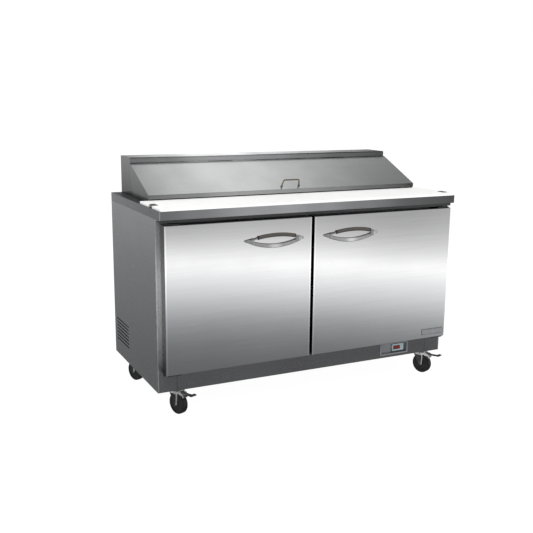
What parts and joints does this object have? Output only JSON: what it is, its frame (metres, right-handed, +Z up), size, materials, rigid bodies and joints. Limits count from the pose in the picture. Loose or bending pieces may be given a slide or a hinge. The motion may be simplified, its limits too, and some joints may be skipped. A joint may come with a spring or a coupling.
{
  "type": "sandwich prep table",
  "caption": "Two-door refrigerated sandwich prep table on casters, with a front cutting board and a row of food pans under a hinged sloping lid.",
  "frame": {"origin": "on the floor, under the middle of the whole object's outline", "axes": "+X along the worktop to the right as seen by someone at the cutting board, -Y to the front, +Z up"},
  "size_m": [1.5586, 0.821, 1.13],
  "materials": {
    "stainless_sheet": "brushed stainless sheet",
    "door_stainless": "bright brushed stainless sheet",
    "galvanised_sheet": "dull galvanised sheet",
    "dark_stainless": "brushed stainless in shade",
    "liner_aluminium": "smooth embossed aluminium",
    "foam": "rigid foam",
    "cutting_board": "white, finely textured",
    "pan_steel": "polished pressed steel",
    "zinc_fastener": "zinc plated",
    "chrome": "polished",
    "grip_plastic": "dark grey, satin",
    "bracket_black": "satin black",
    "gasket_vinyl": "matt dark grey",
    "liner_plastic": "vacuum-formed, satin",
    "wire_coating": "epoxy coated",
    "bezel_plastic": "moulded, satin",
    "controller_plastic": "moulded",
    "display_red": "dark red window",
    "button_plastic": "moulded",
    "wheel_rubber": "moulded, satin",
    "zinc_plate": "bright zinc plate",
    "pedal_black": "moulded, satin",
    "compressor_paint": "gloss black",
    "coil_fin": "plain fin stock",
    "fan_plastic": "moulded",
    "motor_metal": "bare",
    "copper_tube": "drawn tube",
    "condensate_plastic": "moulded",
    "cord_rubber": "matt black",
    "badge_plate": "plain satin plate"
  },
  "bodies": {
    "cabinet": {"base_pan": "galvanised_sheet", "left_side_panel": "stainless_sheet", "right_side_panel": "stainless_sheet", "rear_panel": "galvanised_sheet", "front_frame": "stainless_sheet", "inner_liner": "liner_aluminium", "insulation_foam": "foam", "kick_plate": "dark_stainless", "worktop": "stainless_sheet", "cutting_board": "cutting_board", "board_clips": "dark_stainless", "clip_screws": "zinc_fastener", "hood": "stainless_sheet", "pan_divider_bars": "stainless_sheet", "food_pans": "pan_steel", "door_hinge_brackets": "bracket_black", "wire_shelves": "wire_coating", "shelf_standards": "galvanised_sheet", "control_bezel": "bezel_plastic", "controller_body": "controller_plastic", "display_lens": "display_red", "caster_plates": "zinc_plate", "compressor": "compressor_paint", "condenser_coil": "coil_fin", "fan_motors": "motor_metal", "refrigerant_lines": "copper_tube", "condensate_pan": "condensate_plastic", "evaporator_coil": "coil_fin", "evaporator_cover": "liner_aluminium", "power_cord": "cord_rubber"},
    "lid": {"lid_panel": "stainless_sheet", "lid_liner": "liner_plastic", "lid_handle": "dark_stainless"},
    "left_door": {"left_door_skin": "door_stainless", "left_door_foam": "foam", "left_door_liner": "liner_plastic", "left_door_gasket": "gasket_vinyl", "left_handle_frame": "chrome", "left_handle_grip": "grip_plastic"},
    "right_door": {"right_door_skin": "door_stainless", "right_door_foam": "foam", "right_door_liner": "liner_plastic", "right_door_gasket": "gasket_vinyl", "right_handle_frame": "chrome", "right_handle_grip": "grip_plastic", "door_badge": "badge_plate"},
    "front_left_caster": {"front_left_fork": "zinc_plate"},
    "front_left_wheel": {"front_left_wheel": "wheel_rubber"},
    "front_left_brake": {"front_left_brake_pedal": "pedal_black"},
    "front_right_caster": {"front_right_fork": "zinc_plate"},
    "front_right_wheel": {"front_right_wheel": "wheel_rubber"},
    "front_right_brake": {"front_right_brake_pedal": "pedal_black"},
    "rear_left_caster": {"rear_left_fork": "zinc_plate"},
    "rear_left_wheel": {"rear_left_wheel": "wheel_rubber"},
    "rear_right_caster": {"rear_right_fork": "zinc_plate"},
    "rear_right_wheel": {"rear_right_wheel": "wheel_rubber"},
    "condenser_fan": {"condenser_fan": "fan_plastic"},
    "evaporator_fan": {"evaporator_fan": "fan_plastic"},
    "button_up": {"button_up": "button_plastic"},
    "button_down": {"button_down": "button_plastic"}
  },
  "joints": [
    {"name": "lid_hinge", "type": "hinge", "parent": "cabinet", "child": "lid", "pos_m": [0, 0.197, 1.098], "axis": [-1, 0, 0], "range_deg": [0, 116]},
    {"name": "left_door_hinge", "type": "hinge", "parent": "cabinet", "child": "left_door", "pos_m": [-0.7419, -0.3575, 0.54875], "axis": [0, 0, -1], "range_deg": [0, 110]},
    {"name": "right_door_hinge", "type": "hinge", "parent": "cabinet", "child": "right_door", "pos_m": [0.7419, -0.3575, 0.54875], "axis": [0, 0, 1], "range_deg": [0, 110]},
    {"name": "front_left_swivel", "type": "hinge", "parent": "cabinet", "child": "front_left_caster", "pos_m": [-0.682, -0.2725, 0.11], "axis": [0, 0, 1], "continuous": true},
    {"name": "front_left_wheel_spin", "type": "hinge", "parent": "front_left_caster", "child": "front_left_wheel", "pos_m": [-0.67516, -0.29129, 0.05], "axis": [0.9397, 0.342, 0], "continuous": true},
    {"name": "front_left_brake_pedal_hinge", "type": "hinge", "parent": "front_left_caster", "child": "front_left_brake", "pos_m": [-0.66763, -0.31197, 0.106], "axis": [0.9397, 0.342, 0], "range_deg": [0, 12]},
    {"name": "front_right_swivel", "type": "hinge", "parent": "cabinet", "child": "front_right_caster", "pos_m": [0.682, -0.2725, 0.11], "axis": [0, 0, 1], "continuous": true},
    {"name": "front_right_wheel_spin", "type": "hinge", "parent": "front_right_caster", "child": "front_right_wheel", "pos_m": [0.68884, -0.29129, 0.05], "axis": [0.9397, 0.342, 0], "continuous": true},
    {"name": "front_right_brake_pedal_hinge", "type": "hinge", "parent": "front_right_caster", "child": "front_right_brake", "pos_m": [0.69637, -0.31197, 0.106], "axis": [0.9397, 0.342, 0], "range_deg": [0, 12]},
    {"name": "rear_left_swivel", "type": "hinge", "parent": "cabinet", "child": "rear_left_caster", "pos_m": [-0.726, 0.2385, 0.11], "axis": [0, 0, 1], "continuous": true},
    {"name": "rear_left_wheel_spin", "type": "hinge", "parent": "rear_left_caster", "child": "rear_left_wheel", "pos_m": [-0.71916, 0.21971, 0.05], "axis": [0.9397, 0.342, 0], "continuous": true},
    {"name": "rear_right_swivel", "type": "hinge", "parent": "cabinet", "child": "rear_right_caster", "pos_m": [0.726, 0.2385, 0.11], "axis": [0, 0, 1], "continuous": true},
    {"name": "rear_right_wheel_spin", "type": "hinge", "parent": "rear_right_caster", "child": "rear_right_wheel", "pos_m": [0.73284, 0.21971, 0.05], "axis": [0.9397, 0.342, 0], "continuous": true},
    {"name": "condenser_fan_spin", "type": "hinge", "parent": "cabinet", "child": "condenser_fan", "pos_m": [-0.668, 0.2425, 0.23], "axis": [1, 0, 0], "continuous": true},
    {"name": "evaporator_fan_spin", "type": "hinge", "parent": "cabinet", "child": "evaporator_fan", "pos_m": [0, 0.2245, 0.6], "axis": [0, -1, 0], "continuous": true},
    {"name": "button_up_press", "type": "slide", "parent": "cabinet", "child": "button_up", "axis": [0, 1, 0], "range_m": [0, 0.0008]},
    {"name": "button_down_press", "type": "slide", "parent": "cabinet", "child": "button_down", "axis": [0, 1, 0], "range_m": [0, 0.0008]}
  ]
}
